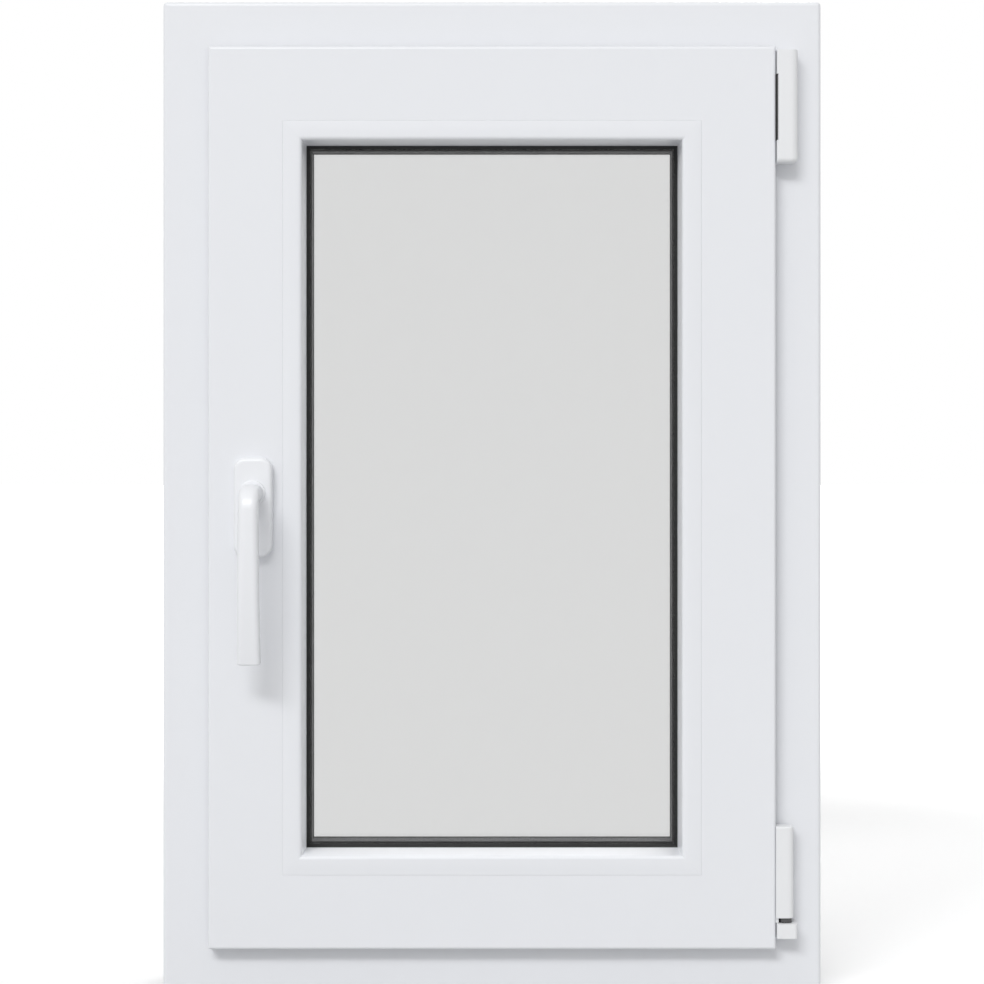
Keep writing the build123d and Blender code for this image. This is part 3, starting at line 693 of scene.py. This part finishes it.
class FinishHinges(bpy.types.Operator):
    """Finish the hinge covers, bearings and pins"""

    bl_idname = "window_parts.finish_hinges"
    bl_label = "Finish Hinges"

    def execute(self, context):
        finish = context.scene.window_finish
        cover = coated(
            "cover_plastic", finish.cover_colour, finish, grain=1500, roughness=0.38, depth=0.02 * MM,
            mottle=0.015, wear=0.15, dust=0.06,
        )
        dress(HINGE_COVERS, cover)
        zinc = coated(
            "zinc_plate", finish.zinc_colour, finish, grain=900, roughness=0.35, depth=0.02 * MM,
            mottle=0.15, dust=0.05, metallic=1.0,
        )
        dress(STEEL_FITTINGS, zinc)
        oiled = coated(
            "oiled_steel", finish.pin_colour, finish, grain=900, roughness=0.22, depth=0.01 * MM,
            mottle=0.3, wear=0.4, dust=0, worn=3.0, metallic=0.6,
        )
        dress(["corner_pin"], oiled)
        black = coated(
            "black_steel", BLACK_STEEL, finish, grain=900, roughness=0.5, depth=0.02 * MM, mottle=0.2,
            wear=0.3, dust=0, worn=2.0, specular=0.3,
        )
        dress(["stay_arm"], black)
        return {"FINISHED"}


def ray_kind(tree, *names):
    """1 for rays of any of these kinds."""
    path = add(tree, "ShaderNodeLightPath")
    total = path.outputs[names[0]]
    for name in names[1:]:
        total = calculate(tree, "MAXIMUM", total, path.outputs[name])
    return total


def floor_material():
    """A pale floor with the object's shadow, which fades to plain white further away."""
    material = bpy.data.materials.new("pale_floor")
    tree = node_tree(material)
    distance = add(tree, "ShaderNodeVectorMath", operation="LENGTH")
    tree.links.new(add(tree, "ShaderNodeTexCoord").outputs["Object"], distance.inputs[0])
    fade = add(tree, "ShaderNodeMapRange", interpolation_type="SMOOTHSTEP")
    put(fade, From_Min=FADE_START, From_Max=FADE_END, To_Min=NEAR_GLOW, To_Max=FAR_GLOW)
    tree.links.new(distance.outputs["Value"], fade.inputs["Value"])
    glow = put(add(tree, "ShaderNodeEmission"), Color=colour4(WHITE))
    tree.links.new(fade.outputs["Result"], glow.inputs["Strength"])
    seen = add(tree, "ShaderNodeAddShader")
    tree.links.new(plain_shader(tree, "ShaderNodeBsdfDiffuse", FLOOR_GREY), seen.inputs[0])
    tree.links.new(glow.outputs[0], seen.inputs[1])
    bounced = plain_shader(tree, "ShaderNodeBsdfDiffuse", BOUNCE_GREY)
    white = plain_shader(tree, "ShaderNodeEmission", WHITE, Strength=1.0)
    shader = mix_shader(tree, ray_kind(tree, "Is Camera Ray"), bounced, seen.outputs[0])
    mirrored = ray_kind(tree, "Is Glossy Ray", "Is Transmission Ray")
    show(tree, mix_shader(tree, mirrored, shader, white))
    return material


def sky_lobe(tree, direction, gain):
    """Soft light from around one direction."""
    towards = add(tree, "ShaderNodeVectorMath", operation="DOT_PRODUCT")
    towards.inputs[1].default_value = Vector(direction).normalized()
    tree.links.new(add(tree, "ShaderNodeTexCoord").outputs["Generated"], towards.inputs[0])
    ahead = calculate(tree, "MAXIMUM", towards.outputs["Value"], 0.0)
    return calculate(tree, "MULTIPLY", calculate(tree, "POWER", ahead, LOBE_POWER), gain)


def make_world(scene, stage):
    """Even light with soft lobes from three sides; it is seen, and mirrored, as plain white."""
    world = bpy.data.worlds.new("studio")
    scene.world = world
    tree = node_tree(world)
    room = sky_lobe(tree, ROOM_SIDE, stage.room_level)
    outside = sky_lobe(tree, OUTSIDE, stage.outside_level)
    side = sky_lobe(tree, HINGE_SIDE, stage.side_level)
    level = calculate(tree, "ADD", calculate(tree, "ADD", room, outside), side)
    level = calculate(tree, "ADD", level, stage.sky_level)
    light = put(add(tree, "ShaderNodeBackground"), Color=colour4(WHITE))
    tree.links.new(level, light.inputs["Strength"])
    white = plain_shader(tree, "ShaderNodeBackground", WHITE, Strength=1.0)
    seen = ray_kind(tree, "Is Camera Ray", "Is Glossy Ray", "Is Transmission Ray")
    shader = mix_shader(tree, seen, light.outputs[0], white)
    tree.links.new(shader, add(tree, "ShaderNodeOutputWorld").inputs["Surface"])


def add_lamp(name, direction, distance, target, size, power):
    """A soft rectangular lamp that points at the target."""
    data = bpy.data.lights.new(name, "AREA")
    data.shape = "RECTANGLE"
    data.size, data.size_y = size
    data.energy = power
    lamp = bpy.data.objects.new(name, data)
    away = Vector(direction).normalized() * distance
    lamp.location = target + away
    lamp.rotation_euler = (-away).to_track_quat("-Z", "Y").to_euler()
    bpy.context.scene.collection.objects.link(lamp)


def add_floor(scene):
    """The floor that the window's foot stands on."""
    corners = [(x * FLOOR_REACH, y * FLOOR_REACH, 0) for x, y in SQUARE_CORNERS]
    mesh = bpy.data.meshes.new("floor")
    mesh.from_pydata(corners, [], [(0, 1, 2, 3)])
    mesh.materials.append(floor_material())
    floor = bpy.data.objects.new("floor", mesh)
    floor.location.z = CAD_BOX[0][2] - FLOOR_GAP
    scene.collection.objects.link(floor)


def add_camera(scene, stage):
    """A camera square to the window, placed by its scale in the picture."""
    room_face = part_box("frame_jamb_left")[0].y
    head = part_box("frame_head")[1].z
    data = bpy.data.cameras.new("camera")
    camera = bpy.data.objects.new("camera", data)
    scene.collection.objects.link(camera)
    data.sensor_width = SENSOR_WIDTH
    pixels_per_metre = stage.picture_scale / MM
    data.lens = pixels_per_metre * stage.camera_distance / PHOTO_SIDE * data.sensor_width
    middle_height = head - (PHOTO_SIDE / 2 - stage.picture_top) / pixels_per_metre
    data.shift_y = (middle_height - stage.camera_height) * pixels_per_metre / PHOTO_SIDE
    camera.location = (0, room_face - stage.camera_distance, stage.camera_height)
    camera.rotation_euler = (math.radians(90), 0, 0)
    scene.camera = camera


class BuildStage(bpy.types.Operator):
    """Set the floor, the lamps and the camera"""

    bl_idname = "window_parts.build_stage"
    bl_label = "Build Stage"

    def execute(self, context):
        scene = context.scene
        stage = scene.window_stage
        scene.view_settings.view_transform = "Standard"
        middle = Vector((0, 0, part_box("frame_head")[1].z / 2))
        add_floor(scene)
        make_world(scene, stage)
        add_lamp("key", KEY_DIRECTION, KEY_DISTANCE, middle, KEY_SIZE, stage.key_power)
        add_lamp("back", BACK_DIRECTION, BACK_DISTANCE, middle, BACK_SIZE, stage.back_power)
        add_camera(scene, stage)
        return {"FINISHED"}


class WindowPanel(bpy.types.Panel):
    """Lists the window's steps and settings"""

    bl_label = "Window"
    bl_idname = "VIEW3D_PT_window_parts"
    bl_space_type = "VIEW_3D"
    bl_region_type = "UI"
    bl_category = "Window"

    def draw(self, context):
        layout = self.layout
        for operator in STEPS:
            layout.operator(operator.bl_idname)
        for group in (context.scene.window_finish, context.scene.window_stage):
            box = layout.box()
            for name in group.bl_rna.properties.keys():
                if name not in ("rna_type", "name"):
                    box.prop(group, name)


STEPS = (FinishProfiles, FinishGlazing, FinishHandle, FinishHinges, BuildStage)
CLASSES = (WindowFinish, WindowStage, *STEPS, WindowPanel)


def register():
    for item in CLASSES:
        bpy.utils.register_class(item)
    bpy.types.Scene.window_finish = bpy.props.PointerProperty(type=WindowFinish)
    bpy.types.Scene.window_stage = bpy.props.PointerProperty(type=WindowStage)


def unregister():
    del bpy.types.Scene.window_stage
    del bpy.types.Scene.window_finish
    for item in reversed(CLASSES):
        bpy.utils.unregister_class(item)


def main():
    register()
    bpy.ops.window_parts.finish_profiles()
    bpy.ops.window_parts.finish_glazing()
    bpy.ops.window_parts.finish_handle()
    bpy.ops.window_parts.finish_hinges()
    bpy.ops.window_parts.build_stage()


if __name__ == "__main__":
    main()
